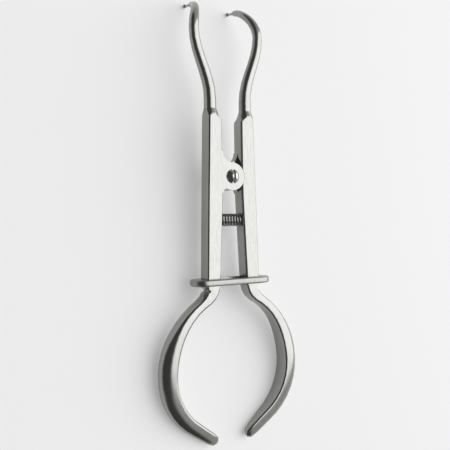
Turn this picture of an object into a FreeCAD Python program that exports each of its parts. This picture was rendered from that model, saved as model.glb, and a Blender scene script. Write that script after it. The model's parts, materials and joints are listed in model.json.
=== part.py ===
import FreeCAD, Part
import math
import os

# Rubber dam clamp forceps in stainless steel: two forged arms with bent beaks and bow handles, lapped at a
# screw, pushed apart by a coil spring and held squeezed by a flat ring that slides along the shanks.
#
# The instrument is drawn flat: X to the right, Y from the handles to the tips, Z towards the front, with the
# pivot at the origin. Only the right arm's outline is drawn, and the left one mirrors it. At the end the
# whole instrument is laid down with its front up, on its two ball tips and the edges of its bows.
# All sizes are in millimetres and all angles in degrees.

V = FreeCAD.Vector
X_AXIS, Y_AXIS, Z_AXIS = V(1, 0, 0), V(0, 1, 0), V(0, 0, 1)

# Shanks: two flat bars, parallel above the pivot and spread a little below it
bar_thickness = 6.4
shank_top = 21.3            # above the pivot, where the beak starts
shank_bottom = 43.0         # below the pivot, where the bow starts
outer_half_top = 10.25      # from the middle of the instrument to the outer face
outer_half_bottom = 11.9
inner_half_top = 4.3
inner_half_bottom = 5.95
inner_bend = 8.0            # below the pivot, where the inner faces start to spread
edge_radius = 0.9
grinding_step = 0.03        # ledge where the bar's grinding meets that of the beak or the bow

# Pivot: each arm has a half-thickness ear, and a round recess for the ear of the other one
ear_radius = 5.4
ear_upper_fillet = 4.5
ear_lower_fillet = 1.6
lap_gap = 0.06              # between the two ears
ear_clearance = 0.08        # round an ear in its recess

# Screw: slotted head sunk in the front ear, smooth pin, threaded end in the rear ear
head_diameter = 5.5
head_sink = 0.9
head_rim = 0.3              # straight part of the head above the front face
head_dome = 0.95
slot_width = 0.8
slot_depth = 1.05
pin_diameter = 3.2
running_clearance = 0.05

# Spring: compression coil between the shanks, each end in a blind pocket
spring_below_pivot = 17.0
spring_diameter = 5.1
wire_diameter = 0.75
spring_active_turns = 8.6
pocket_depth = 1.9
pocket_clearance = 0.12     # radial
seat_clearance = 0.03       # between the end of the spring and the floor of its pocket
wire_sides = 8              # the wire's round section is drawn with flats
stations_per_turn = 14

# Ring: flat plate with rounded ends and one slot for both shanks
ring_below_pivot = 41.1
ring_thickness = 2.5
ring_rail = 2.0             # in front of and behind the shanks
ring_end = 5.2              # beyond the shanks at each end
ring_clearance = 0.22
ring_bevel = 0.4
ring_slot_radius = 0.8

# Beaks: round tapered rods that bow outwards, then bend back to a collar, a thin nose and a ball
beak_root_x = 7.95
beak_wide_x = 14.5
beak_straight_top = 30.5
beak_bend_start = 57.0
beak_root_diameter = 4.95
beak_middle_diameter = 4.45
beak_bend_width = 3.9
beak_bend_depth = 3.6
shoulder_height = 5.0       # length of the ground flare from the bar to the beak
flare_foot = 0.9            # how far the flare stands out from the beak at about half its height
bend_radius = 13.3
bend_angle = 77.0
collar_x = 10.2
collar_diameter = 2.4
nose_root_diameter = 1.4
nose_tip_diameter = 0.8
nose_length = 6.2           # from the collar to the middle of the ball
ball_diameter = 1.6
beak_step = 4.4             # between two outlines of the beak
bend_steps = 10             # outlines in the bend

# Bows: half-round bars, flat inside, whose fronts run on from those of the shanks
bow_wide_x = 27.8
bow_wide_below = 76.1
bow_upper_radius = 32.0
bow_lower_radius = 25.0
bow_start_angle = 61.9      # above the widest point, seen from the centre of the upper arc
bow_end_angle = 54.2        # below the widest point, seen from the centre of the lower arc
bow_tail_length = 13.1      # straight end of the bow
bow_depth = 7.6
bow_thickness = 6.6
bow_straight = 1.5          # flat part of the front and the back, next to the flat inside
bow_inner_edge = 1.0
bow_set_back = 0.8          # how far the middle of the bow lies behind that of the shanks
bow_flare_length = 27.0     # over which the bow swells from its root to its full section
bow_taper_length = 33.5     # over which it narrows again to its rounded end
bow_end_thickness = 4.3
bow_end_depth = 2.9
bow_end_round = 2.2         # length over which it closes at the end
root_thickness = 3.8
root_roundness = 0.3        # share of the full section's roundness
root_turn_length = 3.0      # part of the upper arc that the turn from the shank takes up
root_turn_drop = 3.7        # how far the line of the shank runs on before it has turned
root_steps = 4
bow_step = 4.0              # between two outlines of the bow

# Notch at the root of each bow, where the ring drops in when the bows are squeezed
notch_depth = 1.6
notch_height = 2.8
notch_below_ring = 0.4

half = bar_thickness / 2
past = 5.0                  # how far a cutting tool reaches past the face that it cuts


def outer_half(y):
    """Half width over the shanks at a height above the pivot."""
    return outer_half_top + (outer_half_bottom - outer_half_top) * (shank_top - y) / (shank_top + shank_bottom)


def inner_half(y):
    """Half of the gap between the shanks at a height above the pivot."""
    spread = max(0.0, -y - inner_bend) / (shank_bottom - inner_bend)
    return inner_half_top + (inner_half_bottom - inner_half_top) * spread


def placed(shape, origin, across, front):
    """A shape drawn on the XY plane, put at origin with its X along across and its Y along front."""
    along = across.cross(front)
    matrix = FreeCAD.Matrix(
        across.x, front.x, along.x, origin.x,
        across.y, front.y, along.y, origin.y,
        across.z, front.z, along.z, origin.z,
        0, 0, 0, 1)
    moved = shape.copy()
    moved.Placement = FreeCAD.Placement(matrix).multiply(shape.Placement)
    return moved


def flat_face(corners):
    """A face with straight sides, drawn at the middle of the thickness."""
    return Part.Face(Part.makePolygon([V(x, y, 0) for x, y in corners + corners[:1]]))


def slab(face, low, high):
    """A face thickened between two heights."""
    solid = face.extrude(V(0, 0, high - low))
    solid.translate(V(0, 0, low))
    return solid


def band_section(thickness, depth, inner_edge, outer_edge, straight, roundness):
    """Closed outline, flat inside. Its outside goes from a bar's face to half an ellipse with its roundness."""
    inner, outer, top = -thickness / 2, thickness / 2, depth / 2
    reach = outer - inner - straight
    bar = [
        (outer - outer_edge, top), (outer - outer_edge * (1 - math.sqrt(0.5)), top - outer_edge * (1 - math.sqrt(0.5))),
        (outer, top - outer_edge), (outer + 0.01, 0)]
    oval = [(inner + straight + reach * math.cos(math.radians(a)), top * math.sin(math.radians(a)))
            for a in (90, 67.5, 45, 0)]
    end, bulge, side, middle = [
        V(a[0] + (b[0] - a[0]) * roundness, a[1] + (b[1] - a[1]) * roundness, 0) for a, b in zip(bar, oval)]

    def low(point):
        return V(point.x, -point.y, 0)

    def corner(cy, start):
        """Quarter circle at an inner corner."""
        angles = [math.radians(start + turn) for turn in (0, 45, 90)]
        centre = V(inner + inner_edge, cy, 0)
        return Part.Arc(*[centre + V(math.cos(a), math.sin(a), 0) * inner_edge for a in angles]).toShape()

    return Part.Wire([
        Part.makeLine(V(inner + inner_edge, -top, 0), low(end)),
        Part.Arc(low(end), low(bulge), low(side)).toShape(),
        Part.Arc(low(side), middle, side).toShape(),
        Part.Arc(side, bulge, end).toShape(),
        Part.makeLine(end, V(inner + inner_edge, top, 0)),
        corner(top - inner_edge, 90),
        Part.makeLine(V(inner, top - inner_edge, 0), V(inner, -top + inner_edge, 0)),
        corner(-top + inner_edge, 180),
    ])


def make_shank():
    """Flat bar with rounded long edges, ground round at its top where the beak starts."""
    top = shank_top + shoulder_height
    outline = [
        (inner_half(top), top), (inner_half(-inner_bend), -inner_bend), (inner_half(-shank_bottom), -shank_bottom),
        (outer_half(-shank_bottom), -shank_bottom), (outer_half(top), top)]
    bar = slab(flat_face(outline), -half, half)
    # Only the long edges are rounded: the ends run on into the beak and the bow
    long_edges = []
    for edge in bar.Edges:
        a, b = edge.Vertexes[0].Point, edge.Vertexes[1].Point
        if abs(abs(a.z) - half) < 1e-6 and abs(a.z - b.z) < 1e-6 and abs(a.y - b.y) > 1.0:
            long_edges.append(edge)
    bar = bar.makeFillet(edge_radius, long_edges)

    # The flare is a cone with a hollow foot, wider at its lower end than the corners of the bar
    corner_reach = math.hypot(outer_half(shank_top) - beak_root_x + 1.0, half + 1.0)
    root = beak_root_diameter / 2 + grinding_step
    grinding = flat_face([
        (corner_reach, shank_top - 1.0), (root + flare_foot, top - shoulder_height * 0.55), (root, top),
        (root, top + past), (corner_reach + past, top + past), (corner_reach + past, shank_top - 1.0)])
    grinding.translate(V(beak_root_x, 0, 0))
    return bar.cut(grinding.revolve(V(beak_root_x, 0, 0), Y_AXIS, 360))


def oval(width, depth):
    """Outline of a round or oval rod."""
    long_side, short_side = max(width, depth) / 2, min(width, depth) / 2
    outline = Part.Wire(Part.Ellipse(V(0, 0, 0), long_side + 1e-4, short_side).toShape())
    if depth > width:
        outline.rotate(V(0, 0, 0), Z_AXIS, 90)
    return outline


def blend(share, low, high):
    """A value that eases from low to high as share goes from 0 to 1."""
    share = min(max(share, 0.0), 1.0)
    return low + (high - low) * (1 - math.cos(math.pi * share)) / 2


def beak_station(y):
    """Middle of the beak below its bend: straight, then an S out to the widest point."""
    share = (y - beak_straight_top) / (beak_bend_start - beak_straight_top)
    return V(blend(share, beak_root_x, beak_wide_x), y, 0)


def bend_station(angle):
    """Middle of the beak in its bend, at an angle from the start of the bend."""
    a = math.radians(angle)
    return V(
        blend(angle / bend_angle, beak_wide_x, collar_x),
        beak_bend_start + bend_radius * math.sin(a),
        -bend_radius * (1 - math.cos(a)))


def rod_outline(station, place, width, depth):
    """An oval square to a rod's middle line, whose points station() gives, and the line's direction there."""
    near = 0.01
    along = (station(place + near) - station(place - near)).normalize()
    across = (X_AXIS - along * X_AXIS.dot(along)).normalize()
    return placed(oval(width, depth), station(place), across, along.cross(across)), along


def make_beak():
    """Tapered rod, collar, nose and ball in one piece."""
    low, high = shank_top + shoulder_height - 0.3, beak_bend_start
    count = math.ceil((high - low) / beak_step)
    outlines = []
    for number in range(count):
        share = number / count
        middle = 4 * share * (1 - share)
        mean_end = (beak_root_diameter + beak_bend_width) / 2
        width = beak_root_diameter + (beak_bend_width - beak_root_diameter) * share
        depth = beak_root_diameter + (beak_bend_depth - beak_root_diameter) * share
        width += (beak_middle_diameter - mean_end) * middle
        outlines.append(rod_outline(beak_station, low + (high - low) * share, width, depth)[0])
    for number in range(bend_steps + 1):
        share = number / bend_steps
        width = beak_bend_width + (collar_diameter - beak_bend_width) * share ** 1.6
        depth = beak_bend_depth + (collar_diameter - beak_bend_depth) * share ** 1.3
        outline, along = rod_outline(bend_station, bend_angle * share, width, depth)
        outlines.append(outline)
    rod = Part.makeLoft(outlines, True, True)

    # The nose and its ball are turned in one, about an axis that runs on from the end of the bend
    ball_radius, tip_radius = ball_diameter / 2, nose_tip_diameter / 2
    neck = nose_length - math.sqrt(ball_radius ** 2 - tip_radius ** 2)
    turned = Part.Face(Part.Wire([
        Part.makeLine(V(0, 0, 0), V(nose_root_diameter / 2, 0, 0)),
        Part.makeLine(V(nose_root_diameter / 2, 0, 0), V(tip_radius, neck, 0)),
        Part.Arc(V(tip_radius, neck, 0), V(ball_radius, nose_length, 0), V(0, nose_length + ball_radius, 0)).toShape(),
        Part.makeLine(V(0, nose_length + ball_radius, 0), V(0, 0, 0))])).revolve(V(0, 0, 0), Y_AXIS, 360)
    across = (X_AXIS - along * X_AXIS.dot(along)).normalize()
    nose = placed(turned, bend_station(bend_angle), across, along)
    return rod.fuse(nose)


def bow_station(travel):
    """Middle of the bow and its outward direction, after a length of travel from the top of its upper arc."""
    upper = bow_upper_radius * math.radians(bow_start_angle)
    lower = bow_lower_radius * math.radians(bow_end_angle)
    if travel < upper:
        radius, a, tail = bow_upper_radius, (upper - travel) / bow_upper_radius, 0.0
    else:
        radius, a = bow_lower_radius, -min(travel - upper, lower) / bow_lower_radius
        tail = max(0.0, travel - upper - lower)
    outward = V(math.cos(a), math.sin(a), 0)
    middle = V(bow_wide_x - radius, -bow_wide_below, 0) + outward * radius
    return middle + V(outward.y, -outward.x, 0) * tail, outward


def bow_length():
    """Length of the middle of the bow from the top of its upper arc to its end."""
    return (bow_upper_radius * math.radians(bow_start_angle) + bow_lower_radius * math.radians(bow_end_angle)
            + bow_tail_length)


def bow_size(travel):
    """Thickness, depth and setting back of the bow after a length of travel."""
    flare = (travel - root_turn_length) / bow_flare_length
    taper = (max(0.0, travel - bow_length() + bow_taper_length) / bow_taper_length) ** 2
    closing = max(0.0, travel - bow_length() + bow_end_round) / bow_end_round
    thickness = blend(flare, root_thickness, bow_thickness)
    depth = blend(flare, bar_thickness - 2 * grinding_step, bow_depth)
    closed = math.sqrt(1 - min(closing ** 2, 0.88))
    return (
        (thickness + (bow_end_thickness - thickness) * taper) * closed,
        (depth + (bow_end_depth - depth) * taper) * closed,
        blend(flare, 0.0, bow_set_back))


def make_bow():
    """Half-round bar lofted from the end of the shank, through the widest point, to the rounded end."""
    bar_middle = (inner_half(-shank_bottom) + outer_half(-shank_bottom)) / 2
    bar_width = outer_half(-shank_bottom) - inner_half(-shank_bottom) - 2 * grinding_step

    def outline(middle, outward, thickness, depth, roundness):
        inner_edge = min(bow_inner_edge, 0.3 * min(thickness, depth))
        straight = max(inner_edge, min(bow_straight, 0.4 * thickness)) + 0.02
        wire = band_section(thickness, depth, inner_edge, edge_radius, straight, roundness)
        return placed(wire, middle, outward, Z_AXIS)

    # The root turns from the direction of the shank to that of the upper arc
    start, start_out = bow_station(root_turn_length)
    root_depth = bow_size(root_turn_length)[1]
    outlines = [outline(V(bar_middle, -shank_bottom + 1, 0), X_AXIS, bar_width, root_depth, 0)]
    for number in range(root_steps):
        share = number / root_steps
        middle = V(bar_middle, -shank_bottom, 0) * (1 - share) ** 2 + start * share ** 2
        corner = V(bar_middle, -shank_bottom - root_turn_drop, 0)
        middle += corner * (2 * share * (1 - share))
        outward = (X_AXIS * (1 - share) + start_out * share).normalize()
        outlines.append(outline(
            middle, outward, bar_width + (root_thickness - bar_width) * share, root_depth, root_roundness * share))

    length = bow_length()
    count = math.ceil((length - root_turn_length) / bow_step)
    travels = [root_turn_length + (length - root_turn_length) * number / count for number in range(count)]
    travels += [length - bow_end_round * share for share in (0.55, 0.22, 0.05, 0.0)]
    for travel in travels:
        middle, outward = bow_station(travel)
        thickness, depth, set_back = bow_size(travel)
        flare = (travel - root_turn_length) / bow_flare_length
        outlines.append(outline(
            middle - Z_AXIS * set_back, outward, thickness, depth, blend(flare, root_roundness, 1.0)))
    return Part.makeLoft(outlines, True, True)


def make_notch():
    """Wedge that cuts the outer side of the root of the bow, just below the ring."""
    top = -(ring_below_pivot + ring_thickness / 2 + notch_below_ring)
    outside = outer_half(top)
    wedge = [
        (outside + 0.02, top), (outside - notch_depth, top - notch_height * 0.55),
        (outside - notch_depth + 0.3, top - notch_height * 0.75), (outside + past, top - notch_height - 2.2),
        (outside + past, top)]
    return slab(flat_face(wedge), -past - half, past + half)


def make_ear(low, high):
    """Disc about the pivot, filleted into the inner face of its own shank above and below."""
    inner = inner_half_top
    upper_x = inner - ear_upper_fillet
    upper_y = math.sqrt((ear_radius + ear_upper_fillet) ** 2 - upper_x ** 2)
    lower_x = inner - ear_lower_fillet
    lower_y = -math.sqrt((ear_radius + ear_lower_fillet) ** 2 - lower_x ** 2)

    def touch(cx, cy):
        return V(cx, cy, 0) * (ear_radius / math.hypot(cx, cy))

    def fillet_arc(cx, cy, radius):
        """Arc about (cx, cy) from the ear to the face of the shank, through the point nearest to the corner."""
        ear_end, bar_end = touch(cx, cy), V(inner, cy, 0)
        chord = (ear_end + bar_end) * 0.5 - V(cx, cy, 0)
        return Part.Arc(ear_end, V(cx, cy, 0) + chord.normalize() * radius, bar_end).toShape()

    inside = inner + 1.5
    rim = Part.Arc(touch(upper_x, upper_y), V(-ear_radius, 0, 0), touch(lower_x, lower_y)).toShape()
    outline = Part.Wire(Part.__sortEdges__([
        rim,
        fillet_arc(lower_x, lower_y, ear_lower_fillet),
        Part.makeLine(V(inner, lower_y, 0), V(inside, lower_y, 0)),
        Part.makeLine(V(inside, lower_y, 0), V(inside, upper_y, 0)),
        Part.makeLine(V(inside, upper_y, 0), V(inner, upper_y, 0)),
        fillet_arc(upper_x, upper_y, ear_upper_fillet)]))
    return slab(Part.Face(outline), low, high)


def make_arm(ear_in_front):
    """The right-hand arm with its ear in front or behind; the left arm mirrors the first kind."""
    if ear_in_front:
        ear_low, ear_high = lap_gap / 2, half
        recess_low, recess_high = -half - past, lap_gap / 2
    else:
        ear_low, ear_high = -half, -lap_gap / 2
        recess_low, recess_high = -lap_gap / 2, half + past
    arm = make_shank().fuse([make_beak(), make_bow()])
    arm = arm.cut(make_notch())
    recess = Part.makeCylinder(ear_radius + ear_clearance, recess_high - recess_low, V(0, 0, recess_low))
    arm = arm.cut(recess).fuse(make_ear(ear_low, ear_high))

    pocket_face = inner_half(-spring_below_pivot)
    pocket = Part.makeCylinder(
        spring_diameter / 2 + pocket_clearance, pocket_depth + 1.0, V(pocket_face - 1.0, -spring_below_pivot, 0), X_AXIS)
    if ear_in_front:
        bore = Part.makeCylinder(pin_diameter / 2 + running_clearance, bar_thickness, V(0, 0, -half))
        sink_radius = head_diameter / 2 + running_clearance
        sink = Part.makeCylinder(sink_radius, head_sink + past, V(0, 0, half - head_sink))
        arm = arm.cut([pocket, bore, sink])
    else:
        bore = Part.makeCylinder(pin_diameter / 2, bar_thickness, V(0, 0, -half))
        arm = arm.cut([pocket, bore])
    return arm.removeSplitter()


def make_screw():
    """Slotted screw: domed head in the front ear, pin through it, end flush with the rear ear."""
    radius, pin = head_diameter / 2, pin_diameter / 2
    seat, rim, crown = half - head_sink + 0.02, half + head_rim, half + head_rim + head_dome
    dome_radius = (radius ** 2 + head_dome ** 2) / (2 * head_dome)
    half_turn = math.asin(radius / dome_radius) / 2
    dome_side = V(dome_radius * math.sin(half_turn), 0, crown - dome_radius * (1 - math.cos(half_turn)))
    outline = Part.Wire([
        Part.makeLine(V(0, 0, -half), V(pin - 0.2, 0, -half)),
        Part.makeLine(V(pin - 0.2, 0, -half), V(pin, 0, -half + 0.2)),
        Part.makeLine(V(pin, 0, -half + 0.2), V(pin, 0, seat)),
        Part.makeLine(V(pin, 0, seat), V(radius, 0, seat)),
        Part.makeLine(V(radius, 0, seat), V(radius, 0, rim)),
        Part.Arc(V(radius, 0, rim), dome_side, V(0, 0, crown)).toShape(),
        Part.makeLine(V(0, 0, crown), V(0, 0, -half))])
    screw = Part.Face(outline).revolve(V(0, 0, 0), Z_AXIS, 360)
    slot = Part.makeBox(slot_width, head_diameter + 2, past, V(-slot_width / 2, -radius - 1, crown - slot_depth))
    return screw.cut(slot)


def make_spring():
    """Wire coil between the floors of the two pockets, with one closed turn at each end."""
    reach = inner_half(-spring_below_pivot) + pocket_depth - seat_clearance
    radius = (spring_diameter - wire_diameter) / 2
    span = 2 * reach - wire_diameter
    closed_rise = wire_diameter * 1.04
    active_rise = (span - 2 * closed_rise) / spring_active_turns

    def rise(turn):
        """Distance along the axis after a number of turns from the first end."""
        opened = min(max(turn - 1, 0.0), spring_active_turns)
        return closed_rise * (turn - opened) + active_rise * opened

    turns = spring_active_turns + 2
    count = round(turns * stations_per_turn)
    sides = [2 * math.pi * (number + 0.5) / wire_sides for number in range(wire_sides)]
    outlines = []
    for number in range(count + 1):
        turn = turns * number / count
        a = 2 * math.pi * turn
        outward = V(0, math.cos(a), math.sin(a))
        middle = outward * radius + V(rise(turn) - span / 2, -spring_below_pivot, 0)
        corners = [middle + (outward * math.cos(b) + X_AXIS * math.sin(b)) * (wire_diameter / 2) for b in sides]
        outlines.append(Part.makePolygon(corners + corners[:1]))
    return Part.makeLoft(outlines, True, True)


def make_ring():
    """Flat plate with round ends and a slot that takes both shanks."""
    slot_half = outer_half(-ring_below_pivot) + ring_clearance
    slot_depth_half = half + ring_clearance
    end = slot_half + ring_end
    side = slot_depth_half + ring_rail
    shoulder = end - side
    outline = Part.Face(Part.Wire([
        Part.makeLine(V(-shoulder, -side, 0), V(shoulder, -side, 0)),
        Part.Arc(V(shoulder, -side, 0), V(end, 0, 0), V(shoulder, side, 0)).toShape(),
        Part.makeLine(V(shoulder, side, 0), V(-shoulder, side, 0)),
        Part.Arc(V(-shoulder, side, 0), V(-end, 0, 0), V(-shoulder, -side, 0)).toShape()]))
    plate = outline.extrude(V(0, 0, ring_thickness))
    plate = plate.makeChamfer(ring_bevel, [e for e in plate.Edges if abs(e.BoundBox.ZLength) < 1e-6])
    slot = Part.makeBox(2 * slot_half, 2 * slot_depth_half, ring_thickness + 2, V(-slot_half, -slot_depth_half, -1))
    slot = slot.makeFillet(ring_slot_radius, [e for e in slot.Edges if e.BoundBox.ZLength > 1])
    ring = plate.cut(slot)
    ring.translate(V(0, 0, -ring_thickness / 2))
    return placed(ring, V(0, -ring_below_pivot, 0), X_AXIS, V(0, 0, -1))


pieces = {
    "left_arm": make_arm(True).mirror(V(0, 0, 0), X_AXIS),
    "right_arm": make_arm(False),
    "pivot_screw": make_screw(),
    "spring": make_spring(),
    "sliding_ring": make_ring(),
}

# Laid on a flat surface the instrument rests on its ball tips and on the bows, so its tips end rises a little
tip_angle = math.radians(bend_angle)
tip_y = beak_bend_start + bend_radius * math.sin(tip_angle) + nose_length * math.cos(tip_angle)
tip_z = -bend_radius * (1 - math.cos(tip_angle)) - nose_length * math.sin(tip_angle) - ball_diameter / 2


def rise_to_tips(travel):
    """Angle from the back of the bow up to the ball tips, with the back of the instrument down."""
    middle, outward = bow_station(travel)
    thickness, depth, set_back = bow_size(travel)
    back = middle - outward * (thickness / 2 - bow_inner_edge)
    return math.degrees(math.atan2(-depth / 2 - set_back - tip_z, tip_y - back.y))


pitch = min(rise_to_tips(bow_length() * number / 50) for number in range(51))

whole = Part.makeCompound(list(pieces.values()))
whole.rotate(V(0, 0, 0), X_AXIS, pitch)
box = whole.optimalBoundingBox(False, False)
lift = V(-box.Center.x, -box.Center.y, -box.ZMin)

os.makedirs("parts", exist_ok=True)
for name, shape in pieces.items():
    shape.rotate(V(0, 0, 0), X_AXIS, pitch)
    shape.translate(lift)
    shape.exportStep("parts/" + name + ".step")
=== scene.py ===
import json
import math

import bpy
from mathutils import Matrix, Vector


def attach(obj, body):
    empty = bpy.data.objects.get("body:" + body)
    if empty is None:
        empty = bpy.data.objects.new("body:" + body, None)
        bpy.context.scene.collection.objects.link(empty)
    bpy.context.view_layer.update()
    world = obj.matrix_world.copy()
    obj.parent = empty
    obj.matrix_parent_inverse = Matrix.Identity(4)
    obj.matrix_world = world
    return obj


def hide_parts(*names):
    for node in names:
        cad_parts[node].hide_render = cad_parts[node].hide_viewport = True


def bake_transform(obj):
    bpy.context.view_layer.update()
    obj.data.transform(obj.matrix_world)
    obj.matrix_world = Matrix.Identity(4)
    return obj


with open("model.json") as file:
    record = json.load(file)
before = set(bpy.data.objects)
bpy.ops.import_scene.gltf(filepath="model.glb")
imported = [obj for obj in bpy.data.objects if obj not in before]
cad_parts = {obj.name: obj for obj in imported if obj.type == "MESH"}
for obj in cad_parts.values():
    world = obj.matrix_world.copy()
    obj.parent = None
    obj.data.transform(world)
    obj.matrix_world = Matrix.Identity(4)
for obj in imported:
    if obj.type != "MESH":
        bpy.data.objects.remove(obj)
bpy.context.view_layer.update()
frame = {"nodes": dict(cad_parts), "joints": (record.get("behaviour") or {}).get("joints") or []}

# Rubber dam clamp forceps in stainless steel, lying front up on its two ball tips and the backs of its bows.
# Metres throughout. The instrument's own directions are tilted a little about X, because the bent beaks hold its
# tips end up.
JOINTS = {joint["name"]: joint for joint in frame["joints"]}
PIVOT = Vector(JOINTS["squeeze"]["pos_m"])
TO_TIPS = Vector(JOINTS["ring_slide"]["axis"]).normalized()
TO_RIGHT = Vector((1, 0, 0))
TO_FRONT = TO_RIGHT.cross(TO_TIPS)

# Copies of the CAD nodes
SAME_CORNER = 0.000002        # corners of the CAD triangles that are nearer than this are one corner
STILL_FLAT = 0.2              # degrees between faces that are joined into one before an edge is rounded
SMOOTH_BELOW = 33             # degrees between faces that are shaded as one curve
ROUND_ABOVE = 40              # degrees between faces whose edge is rounded
ROUNDING_STEPS = 2

# Screw
SCREW_EDGE = 0.00008
DOME_FOOT = 0.0035            # in front of the middle of the lap
DOME_STRETCH = 0.6            # part of the dome's height that is added to it

# Locking ring
RING_EDGE = 0.0002
RING_ROUND_ABOVE = 30

# Coil spring, measured from its middle
SPRING_BELOW_PIVOT = 0.017
SPRING_RADIUS = 0.002175      # to the middle of the wire
WIRE_RADIUS = 0.000375
SPRING_REACH = 0.006594       # to each end of the spring
ACTIVE_TURNS = 8.6
CLOSED_TURNS = 1              # at each end, where the wire lies against itself
CLOSED_RISE = WIRE_RADIUS * 2.08
SWEPT_RISE = 0.001            # rise of a turn while the wire is swept, before the turns are spaced
STEPS_A_TURN = 40
WIRE_SIDES = 16
WIRE_SMOOTH_BELOW = 50

# Steel surfaces
LINE_WIDTH_TO_LENGTH = 0.012  # of a grinding line
LINE_HEIGHT = 0.00002
DULL_PATCHES_A_METRE = 90.0   # patches of about 11 mm, as a polishing wheel leaves them

# Studio
FLOOR_SIZE = 6.0
FLOOR_WHITE = 0.3             # share of plain white in the floor, as the camera and the metal see it
WALL_COLOUR = "D2D2D2"
PANEL_COLOUR = "585858"
PANEL_BLUR = 5                # degrees from a panel's full tone to the walls', to each side of its edge
# Each dark panel: direction on the floor, angle above it, and angle from the panel's middle to its edge
PANELS = ((180, 53, 44), (-105, 22, 32), (122, 34, 30))

# Camera, solved from the outlines in the photograph, with places measured from the pivot
CAMERA_TURN = math.radians(30)
CAMERA_ROLL = math.radians(0.9)
CAMERA_REACH = 0.2243
CAMERA_ASIDE = 0.001755
CAMERA_ALONG = -0.0190
FOCAL_LENGTH_PX = 566
PICTURE_PX = 450
SENSOR_MM = 36.0


def spot(right, tips, front):
    """A place given in metres from the pivot, in the instrument's own directions."""
    return PIVOT + TO_RIGHT * right + TO_TIPS * tips + TO_FRONT * front


def towards(turn, rise):
    """A direction at an angle from the right towards the tips, and at an angle above the floor."""
    a, e = math.radians(turn), math.radians(rise)
    return (math.cos(a) * math.cos(e), math.sin(a) * math.cos(e), math.sin(e))


def linear(code):
    """An sRGB hex colour as linear values."""
    values = [int(code[at:at + 2], 16) / 255 for at in (0, 2, 4)]
    return [v / 12.92 if v <= 0.04045 else ((v + 0.055) / 1.055) ** 2.4 for v in values] + [1.0]


def add_node(tree, kind, inputs=None, links=None, **settings):
    """Adds a node to a material or the world, with its settings, values and incoming links."""
    node = tree.nodes.new(kind)
    for name, value in settings.items():
        setattr(node, name, value)
    for name, value in (inputs or {}).items():
        node.inputs[name].default_value = value
    for name, source in (links or {}).items():
        tree.links.new(source, node.inputs[name])
    return node


def new_material(name):
    """An empty node material with its output node."""
    material = bpy.data.materials.new(name)
    material.use_nodes = True
    material.node_tree.nodes.clear()
    return material, add_node(material.node_tree, "ShaderNodeOutputMaterial")


def make_steel(name, colour, scratch_colour, roughness, roughness_spread, line_mm, line_depth):
    """Stainless steel with fine grinding lines along the instrument and slight uneven dulling from polishing."""
    material, output = new_material(name)
    tree = material.node_tree
    place = add_node(tree, "ShaderNodeTexCoord").outputs["Object"]
    along = add_node(tree, "ShaderNodeMapping", {
        "Rotation": (-math.asin(TO_TIPS.z), 0, 0), "Scale": (1.0, LINE_WIDTH_TO_LENGTH, 1.0)}, {"Vector": place})
    lines = add_node(tree, "ShaderNodeTexNoise", {
        "Scale": 1000 / line_mm, "Detail": 3.0, "Roughness": 0.6}, {"Vector": along.outputs[0]})
    cloud = add_node(tree, "ShaderNodeTexNoise", {
        "Scale": DULL_PATCHES_A_METRE, "Detail": 2.0, "Roughness": 0.5}, {"Vector": place})
    dull = add_node(tree, "ShaderNodeMapRange", {
        "From Min": 0.3, "From Max": 0.7, "To Min": roughness - roughness_spread,
        "To Max": roughness + roughness_spread}, {"Value": cloud.outputs["Fac"]})
    depth = add_node(tree, "ShaderNodeMapRange", {"From Min": 0.42, "From Max": 0.72}, {"Value": lines.outputs["Fac"]})
    shade = add_node(tree, "ShaderNodeMixRGB", {"Color1": linear(colour), "Color2": linear(scratch_colour)}, {
        "Fac": depth.outputs[0]})
    bump = add_node(tree, "ShaderNodeBump", {"Strength": line_depth, "Distance": LINE_HEIGHT}, {
        "Height": lines.outputs["Fac"]})
    shader = add_node(tree, "ShaderNodeBsdfPrincipled", {"Metallic": 1.0}, {
        "Base Color": shade.outputs[0], "Roughness": dull.outputs[0], "Normal": bump.outputs[0]})
    tree.links.new(shader.outputs[0], output.inputs["Surface"])
    return material


def make_paper():
    """Matt pale paper that keeps a soft grey shadow. The camera and the metal see part of it as plain white, which
    doesn't light the instrument."""
    material, output = new_material("pale_paper")
    tree = material.node_tree
    matt = add_node(tree, "ShaderNodeBsdfPrincipled", {
        "Base Color": linear("ECECEC"), "Roughness": 0.9, "Specular IOR Level": 0.0})
    white = add_node(tree, "ShaderNodeEmission", {"Color": linear("FFFFFF"), "Strength": 1.0})
    rays = add_node(tree, "ShaderNodeLightPath")
    direct = add_node(tree, "ShaderNodeMath", {}, {
        0: rays.outputs["Is Camera Ray"], 1: rays.outputs["Is Glossy Ray"]}, operation="MAXIMUM")
    seen = add_node(tree, "ShaderNodeMath", {}, {
        0: direct.outputs[0], 1: rays.outputs["Is Transmission Ray"]}, operation="MAXIMUM")
    share = add_node(tree, "ShaderNodeMath", {1: FLOOR_WHITE}, {0: seen.outputs[0]}, operation="MULTIPLY")
    surface = add_node(tree, "ShaderNodeMixShader", {}, {
        "Fac": share.outputs[0], 1: matt.outputs[0], 2: white.outputs[0]})
    tree.links.new(surface.outputs[0], output.inputs["Surface"])
    return material


def deselect():
    """Leaves nothing selected, so that an operator acts only on what is picked next."""
    for thing in bpy.context.selected_objects:
        thing.select_set(False)


def pick(piece):
    """Selects one piece only and makes it the active one."""
    deselect()
    piece.select_set(True)
    bpy.context.view_layer.objects.active = piece


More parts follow.
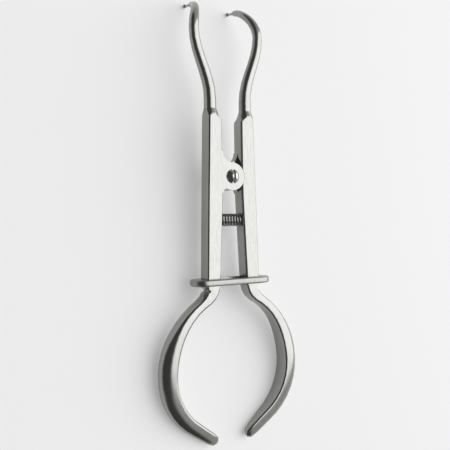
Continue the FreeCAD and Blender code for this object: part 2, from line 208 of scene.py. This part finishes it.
def copy_node(name, material, piece_name, body, rounding=0.0, round_above=ROUND_ABOVE):
    """A copy of a CAD node with its triangles joined up, its curves shaded smooth and, where a rounding is given,
    its sharp edges rounded."""
    node = frame["nodes"][name]
    piece = bpy.data.objects.new(piece_name, node.data.copy())
    piece.data.name = piece_name
    bpy.context.scene.collection.objects.link(piece)
    pick(piece)
    bpy.ops.mesh.customdata_custom_splitnormals_clear()
    bpy.ops.object.mode_set(mode="EDIT")
    bpy.ops.mesh.select_all(action="SELECT")
    bpy.ops.mesh.remove_doubles(threshold=SAME_CORNER)
    if rounding:
        bpy.ops.mesh.dissolve_limited(angle_limit=math.radians(STILL_FLAT))
    bpy.ops.object.mode_set(mode="OBJECT")
    if rounding:
        edges = piece.modifiers.new("edges", "BEVEL")
        edges.width = rounding
        edges.segments = ROUNDING_STEPS
        edges.limit_method = "ANGLE"
        edges.angle_limit = math.radians(round_above)
        bpy.ops.object.modifier_apply(modifier="edges")
    bpy.ops.object.shade_smooth_by_angle(angle=math.radians(SMOOTH_BELOW))
    piece.data.materials.clear()
    piece.data.materials.append(material)
    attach(piece, body)
    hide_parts(name)
    return piece


def raise_dome(screw):
    """Makes the screw's dome a little rounder than the plain CAD one, so that its left side turns dark as in the
    photograph."""
    for vertex in screw.data.vertices:
        above_foot = (vertex.co - PIVOT).dot(TO_FRONT) - DOME_FOOT
        if above_foot > 0:
            vertex.co += TO_FRONT * above_foot * DOME_STRETCH


def make_coil(material):
    """The spring: a wire swept round its turns, then spaced along its axis, with a closed turn at each end."""
    turns = ACTIVE_TURNS + 2 * CLOSED_TURNS
    deselect()
    bpy.ops.mesh.primitive_circle_add(
        vertices=WIRE_SIDES, radius=WIRE_RADIUS, location=(SPRING_RADIUS, 0, 0), rotation=(math.radians(90), 0, 0))
    coil = bpy.context.object
    coil.name = coil.data.name = "coil_spring"
    bpy.ops.object.transform_apply(location=True, rotation=True, scale=True)
    sweep = coil.modifiers.new("sweep", "SCREW")
    sweep.axis = "Z"
    sweep.angle = math.radians(360) * turns
    sweep.screw_offset = turns * SWEPT_RISE
    sweep.steps = sweep.render_steps = round(STEPS_A_TURN * turns)
    bpy.ops.object.modifier_apply(modifier="sweep")
    bpy.ops.object.mode_set(mode="EDIT")
    bpy.ops.mesh.select_all(action="SELECT")
    bpy.ops.mesh.fill_holes(sides=WIRE_SIDES)
    bpy.ops.mesh.select_all(action="SELECT")
    bpy.ops.mesh.normals_make_consistent(inside=False)
    bpy.ops.object.mode_set(mode="OBJECT")

    # The swept rings of corners are in order along the wire, so a corner's number gives its turn
    span = 2 * (SPRING_REACH - WIRE_RADIUS)
    active_rise = (span - 2 * CLOSED_RISE) / ACTIVE_TURNS
    for number, vertex in enumerate(coil.data.vertices):
        turn = number // WIRE_SIDES / STEPS_A_TURN
        opened = min(max(turn - CLOSED_TURNS, 0.0), ACTIVE_TURNS)
        rise = CLOSED_RISE * (turn - opened) + active_rise * opened
        across = vertex.co.z - SWEPT_RISE * turn + rise - span / 2
        vertex.co = spot(across, vertex.co.x - SPRING_BELOW_PIVOT, vertex.co.y)
    pick(coil)
    bpy.ops.object.shade_smooth_by_angle(angle=math.radians(WIRE_SMOOTH_BELOW))
    coil.data.materials.append(material)
    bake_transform(coil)
    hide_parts("spring")


def add_lamp(name, direction, distance, width, length, brightness):
    """A soft box that faces the instrument from a direction; its brightness is that of its lit face."""
    lamp = bpy.data.lights.new(name, "AREA")
    lamp.shape = "RECTANGLE"
    lamp.size, lamp.size_y = width, length
    lamp.energy = brightness * math.pi * width * length
    holder = bpy.data.objects.new(name, lamp)
    bpy.context.scene.collection.objects.link(holder)
    away = Vector(direction).normalized()
    holder.location = away * distance
    holder.rotation_euler = away.to_track_quat("Z", "Y").to_euler()


def make_studio_walls():
    """Pale walls all round, and three dark panels that the rods and bows mirror as dark bands: one at the left, one
    behind the handles and one beyond the tips."""
    world = bpy.data.worlds.new("studio")
    bpy.context.scene.world = world
    world.use_nodes = True
    tree = world.node_tree
    tree.nodes.clear()
    view = add_node(tree, "ShaderNodeTexCoord").outputs["Generated"]
    dark = None
    for turn, rise, reach in PANELS:
        nearness = add_node(tree, "ShaderNodeVectorMath", {1: towards(turn, rise)}, {0: view}, operation="DOT_PRODUCT")
        panel = add_node(tree, "ShaderNodeMapRange", {
            "From Min": math.cos(math.radians(reach + PANEL_BLUR)),
            "From Max": math.cos(math.radians(reach - PANEL_BLUR))}, {"Value": nearness.outputs["Value"]}).outputs[0]
        if dark:
            panel = add_node(tree, "ShaderNodeMath", {}, {0: dark, 1: panel}, operation="MAXIMUM").outputs[0]
        dark = panel
    walls = add_node(tree, "ShaderNodeMixRGB", {"Color1": linear(WALL_COLOUR), "Color2": linear(PANEL_COLOUR)}, {
        "Fac": dark})
    sky = add_node(tree, "ShaderNodeBackground", {"Strength": 1.0}, {"Color": walls.outputs[0]})
    add_node(tree, "ShaderNodeOutputWorld", {}, {"Surface": sky.outputs[0]})


def place_camera():
    """The photograph's view: from the left and a little towards the handles, with the tips up in the picture."""
    camera = bpy.data.objects.new("camera", bpy.data.cameras.new("camera"))
    bpy.context.scene.collection.objects.link(camera)
    bpy.context.scene.camera = camera
    camera.data.sensor_width = SENSOR_MM
    camera.data.lens = FOCAL_LENGTH_PX / PICTURE_PX * SENSOR_MM
    camera.data.clip_start = 0.01
    view_right = TO_RIGHT * math.cos(CAMERA_TURN) + TO_FRONT * math.sin(CAMERA_TURN)
    view_back = TO_FRONT * math.cos(CAMERA_TURN) - TO_RIGHT * math.sin(CAMERA_TURN)
    at = spot(-CAMERA_ASIDE * math.cos(CAMERA_TURN) - CAMERA_REACH * math.sin(CAMERA_TURN), CAMERA_ALONG,
              -CAMERA_ASIDE * math.sin(CAMERA_TURN) + CAMERA_REACH * math.cos(CAMERA_TURN))
    picture_right = view_right * math.cos(CAMERA_ROLL) - TO_TIPS * math.sin(CAMERA_ROLL)
    picture_up = TO_TIPS * math.cos(CAMERA_ROLL) + view_right * math.sin(CAMERA_ROLL)
    camera.matrix_world = Matrix((
        (picture_right.x, picture_up.x, view_back.x, at.x),
        (picture_right.y, picture_up.y, view_back.y, at.y),
        (picture_right.z, picture_up.z, view_back.z, at.z),
        (0, 0, 0, 1)))


# The real grinding lines are a few hundredths of a millimetre apart and would vanish at this size, so every steel
# here draws them coarser, about a third of a millimetre apart.

# Arms: flats that look almost white with faint lines along them, and rods that carry soft-edged dark and light bands
satin_steel = make_steel("satin_ground_stainless_steel", "9A9A98", "90908E", 0.2, 0.03, 0.35, 0.3)
# Ring: duller and a touch darker than the arms, so that its thin front edge reads as a separate plain strip
ring_steel = make_steel("flat_ground_stainless_steel", "929290", "868684", 0.3, 0.04, 0.35, 0.3)
# Screw: the brightest and sharpest steel, so that its dome shows a dark and a light side, split by the slot
polished_steel = make_steel("polished_stainless_steel", "A8A8A6", "A0A09E", 0.16, 0.03, 0.3, 0.15)
# Spring: grey drawn wire with dull streaks, so that each turn shows as a dark and a light line
spring_wire = make_steel("drawn_stainless_spring_wire", "929290", "7C7C7A", 0.3, 0.04, 0.25, 0.2)

copy_node("left_arm", satin_steel, "left_arm_satin", "left_arm")
copy_node("right_arm", satin_steel, "right_arm_satin", "right_arm")
raise_dome(copy_node(
    "pivot_screw", polished_steel, "slotted_pivot_screw", "right_arm", rounding=SCREW_EDGE))
copy_node("sliding_ring", ring_steel, "locking_ring", "sliding_ring",
          rounding=RING_EDGE, round_above=RING_ROUND_ABOVE)
make_coil(spring_wire)

bpy.ops.mesh.primitive_plane_add(size=FLOOR_SIZE, location=(0, 0, 0))
floor = bpy.context.object
floor.name = "floor"
floor.data.materials.append(make_paper())

# One long soft box at the right lights the front faces and draws the light strips along the rods
add_lamp("soft_box_right", towards(8, 44), distance=1.2, width=1.28, length=3.3, brightness=2.05)
make_studio_walls()
place_camera()
bpy.context.scene.view_settings.view_transform = "Standard"
